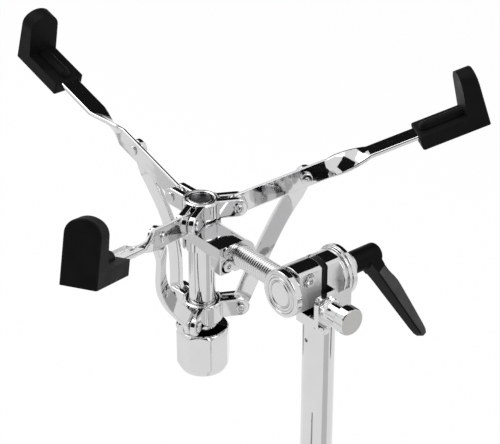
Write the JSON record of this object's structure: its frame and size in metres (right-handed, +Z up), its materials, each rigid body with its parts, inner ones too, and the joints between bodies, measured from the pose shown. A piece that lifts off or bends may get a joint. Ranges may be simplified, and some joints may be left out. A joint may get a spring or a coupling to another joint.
{
  "type": "snare drum stand",
  "caption": "Chrome snare drum stand with a folding tripod, an offset tilter and an adjustable basket with rubber tips.",
  "frame": {"origin": "on the floor, on the mast's axis", "axes": "+Z up the mast, +X along the tilter barrel to its lever, +Y out to the basket"},
  "size_m": [0.5378, 0.4696, 0.5815],
  "materials": {
    "chrome": "polished",
    "tip_rubber": "satin",
    "foot_rubber": "matte",
    "lever_black": "satin",
    "black_nylon": "matte",
    "plain_steel": "bright zinc"
  },
  "bodies": {
    "base": {"lower_tube": "chrome", "lower_hub": "chrome", "brace_pivot_rivets": "chrome", "height_clamp": "chrome", "height_bush": "black_nylon"},
    "height_wing": {"height_wing_screw": "chrome"},
    "leg_slider": {"leg_collar": "chrome", "leg_pivot_rivets": "chrome"},
    "collar_wing": {"collar_wing_screw": "chrome"},
    "mast": {"upper_tube": "chrome"},
    "head": {"tilter_head": "chrome", "head_pin": "chrome", "friction_disc": "black_nylon", "clamp_washer": "chrome", "tilter_bolt": "plain_steel"},
    "knob": {"tilt_knob": "chrome"},
    "lever": {"lever_hub": "plain_steel", "lever_screw": "plain_steel", "lever_spring": "plain_steel"},
    "lever_grip": {"lever_handle": "lever_black"},
    "basket": {"tilter_barrel": "chrome", "barrel_cap": "chrome", "barrel_screw": "chrome", "offset_rod": "chrome", "rod_clamp": "chrome", "clamp_cap": "chrome", "clamp_screws": "chrome", "basket_tube": "chrome", "basket_hub": "chrome", "hub_plug": "chrome", "hub_pins": "chrome"},
    "spreader": {"basket_collar": "chrome", "collar_pins": "chrome"},
    "nut": {"adjuster_nut": "chrome", "nut_liner": "black_nylon"},
    "brace_1": {"brace_1": "chrome"},
    "leg_1": {"leg_1": "chrome", "leg_rivet_1": "chrome", "foot_1": "foot_rubber"},
    "brace_2": {"brace_2": "chrome"},
    "leg_2": {"leg_2": "chrome", "leg_rivet_2": "chrome", "foot_2": "foot_rubber"},
    "brace_3": {"brace_3": "chrome"},
    "leg_3": {"leg_3": "chrome", "leg_rivet_3": "chrome", "foot_3": "foot_rubber"},
    "arm_1": {"arm_1": "chrome", "arm_tip_1": "tip_rubber", "link_pin_1": "chrome"},
    "link_1": {"link_1": "chrome"},
    "arm_2": {"arm_2": "chrome", "arm_tip_2": "tip_rubber", "link_pin_2": "chrome"},
    "link_2": {"link_2": "chrome"},
    "arm_3": {"arm_3": "chrome", "arm_tip_3": "tip_rubber", "link_pin_3": "chrome"},
    "link_3": {"link_3": "chrome"}
  },
  "joints": [
    {"name": "leg_fold", "type": "hinge", "parent": "base", "child": "brace_1", "pos_m": [0, 0.0276, 0.04], "axis": [1, 0, 0], "range_deg": [0, 54]},
    {"name": "leg_knee_1", "type": "hinge", "parent": "brace_1", "child": "leg_1", "pos_m": [0, 0.13152, 0.1], "axis": [1, 0, 0], "range_deg": [-108, 0]},
    {"name": "brace_swing_2", "type": "hinge", "parent": "base", "child": "brace_2", "pos_m": [-0.0239, -0.0138, 0.04], "axis": [-0.5, 0.866, 0], "range_deg": [0, 54]},
    {"name": "leg_knee_2", "type": "hinge", "parent": "brace_2", "child": "leg_2", "pos_m": [-0.1139, -0.06576, 0.1], "axis": [-0.5, 0.866, 0], "range_deg": [-108, 0]},
    {"name": "brace_swing_3", "type": "hinge", "parent": "base", "child": "brace_3", "pos_m": [0.0239, -0.0138, 0.04], "axis": [-0.5, -0.866, 0], "range_deg": [0, 54]},
    {"name": "leg_knee_3", "type": "hinge", "parent": "brace_3", "child": "leg_3", "pos_m": [0.1139, -0.06576, 0.1], "axis": [-0.5, -0.866, 0], "range_deg": [-108, 0]},
    {"name": "slider_pivot", "type": "hinge", "parent": "leg_1", "child": "leg_slider", "pos_m": [0, 0.0276, 0.16], "axis": [1, 0, 0], "range_deg": [0, 54]},
    {"name": "collar_wing_turn", "type": "hinge", "parent": "leg_slider", "child": "collar_wing", "pos_m": [0, -0.03, 0.16], "axis": [0, -1, 0], "continuous": true},
    {"name": "height_slide", "type": "slide", "parent": "base", "child": "mast", "axis": [0, 0, 1], "range_m": [-0.07, 0.09]},
    {"name": "height_wing_turn", "type": "hinge", "parent": "base", "child": "height_wing", "pos_m": [-0.02819, -0.01026, 0.329], "axis": [-0.9397, -0.342, 0], "continuous": true},
    {"name": "head_swivel", "type": "hinge", "parent": "mast", "child": "head", "pos_m": [0, 0, 0.44], "axis": [0, 0, 1], "continuous": true},
    {"name": "knob_turn", "type": "hinge", "parent": "head", "child": "knob", "pos_m": [-0.0125, -0.0215, 0.4718], "axis": [0, -1, 0], "continuous": true},
    {"name": "lever_turn", "type": "hinge", "parent": "head", "child": "lever", "pos_m": [0.03, 0, 0.48], "axis": [1, 0, 0], "range_deg": [-95, 65]},
    {"name": "lever_pull", "type": "slide", "parent": "lever", "child": "lever_grip", "axis": [1, 0, 0], "range_m": [0, 0.005], "stiffness_N_per_m": 600, "springref_m": -0.002, "deforming": ["lever_spring"]},
    {"name": "basket_tilt", "type": "hinge", "parent": "head", "child": "basket", "pos_m": [0, 0, 0.48], "axis": [1, 0, 0], "range_deg": [-20, 60]},
    {"name": "collar_slide", "type": "slide", "parent": "basket", "child": "spreader", "axis": [0, 0, 1], "range_m": [-0.00656, 0.01192]},
    {"name": "nut_turn", "type": "hinge", "parent": "spreader", "child": "nut", "pos_m": [-0.0154, 0.1065, 0.3813], "axis": [0, 0, 1], "range_deg": [-396, 720]},
    {"name": "arm_swing_1", "type": "hinge", "parent": "basket", "child": "arm_1", "pos_m": [0.00666, 0.09452, 0.4925], "axis": [-0.4772, -0.8788, 0], "range_deg": [-9.96, 18.09]},
    {"name": "link_swing_1", "type": "hinge", "parent": "arm_1", "child": "link_1", "pos_m": [0.04927, 0.07139, 0.50863], "axis": [-0.4772, -0.8788, 0], "range_deg": [-14.5, 7.98]},
    {"name": "arm_swing_2", "type": "hinge", "parent": "basket", "child": "arm_2", "pos_m": [-0.01606, 0.13159, 0.4925], "axis": [0.9997, 0.0262, 0], "range_deg": [-9.96, 18.09]},
    {"name": "link_swing_2", "type": "hinge", "parent": "arm_2", "child": "link_2", "pos_m": [-0.01733, 0.18006, 0.50863], "axis": [0.9997, 0.0262, 0], "range_deg": [-14.5, 7.98]},
    {"name": "arm_swing_3", "type": "hinge", "parent": "basket", "child": "arm_3", "pos_m": [-0.0368, 0.09338, 0.4925], "axis": [-0.5225, 0.8526, 0], "range_deg": [-9.96, 18.09]},
    {"name": "link_swing_3", "type": "hinge", "parent": "arm_3", "child": "link_3", "pos_m": [-0.07814, 0.06805, 0.50863], "axis": [-0.5225, 0.8526, 0], "range_deg": [-14.5, 7.98]}
  ],
  "couplings": [
    {"joint": "leg_knee_1", "follows": "leg_fold", "ratio": -2},
    {"joint": "brace_swing_2", "follows": "leg_fold", "ratio": 1},
    {"joint": "leg_knee_2", "follows": "leg_fold", "ratio": -2},
    {"joint": "brace_swing_3", "follows": "leg_fold", "ratio": 1},
    {"joint": "leg_knee_3", "follows": "leg_fold", "ratio": -2},
    {"joint": "slider_pivot", "follows": "leg_fold", "ratio": 1},
    {"joint": "collar_slide", "follows": "nut_turn", "m_per_rad": 0.00094743},
    {"joint": "arm_swing_1", "follows": "nut_turn", "ratio": 0.0251},
    {"joint": "link_swing_1", "follows": "nut_turn", "ratio": -0.020113},
    {"joint": "arm_swing_2", "follows": "nut_turn", "ratio": 0.0251},
    {"joint": "link_swing_2", "follows": "nut_turn", "ratio": -0.020113},
    {"joint": "arm_swing_3", "follows": "nut_turn", "ratio": 0.0251},
    {"joint": "link_swing_3", "follows": "nut_turn", "ratio": -0.020113}
  ]
}
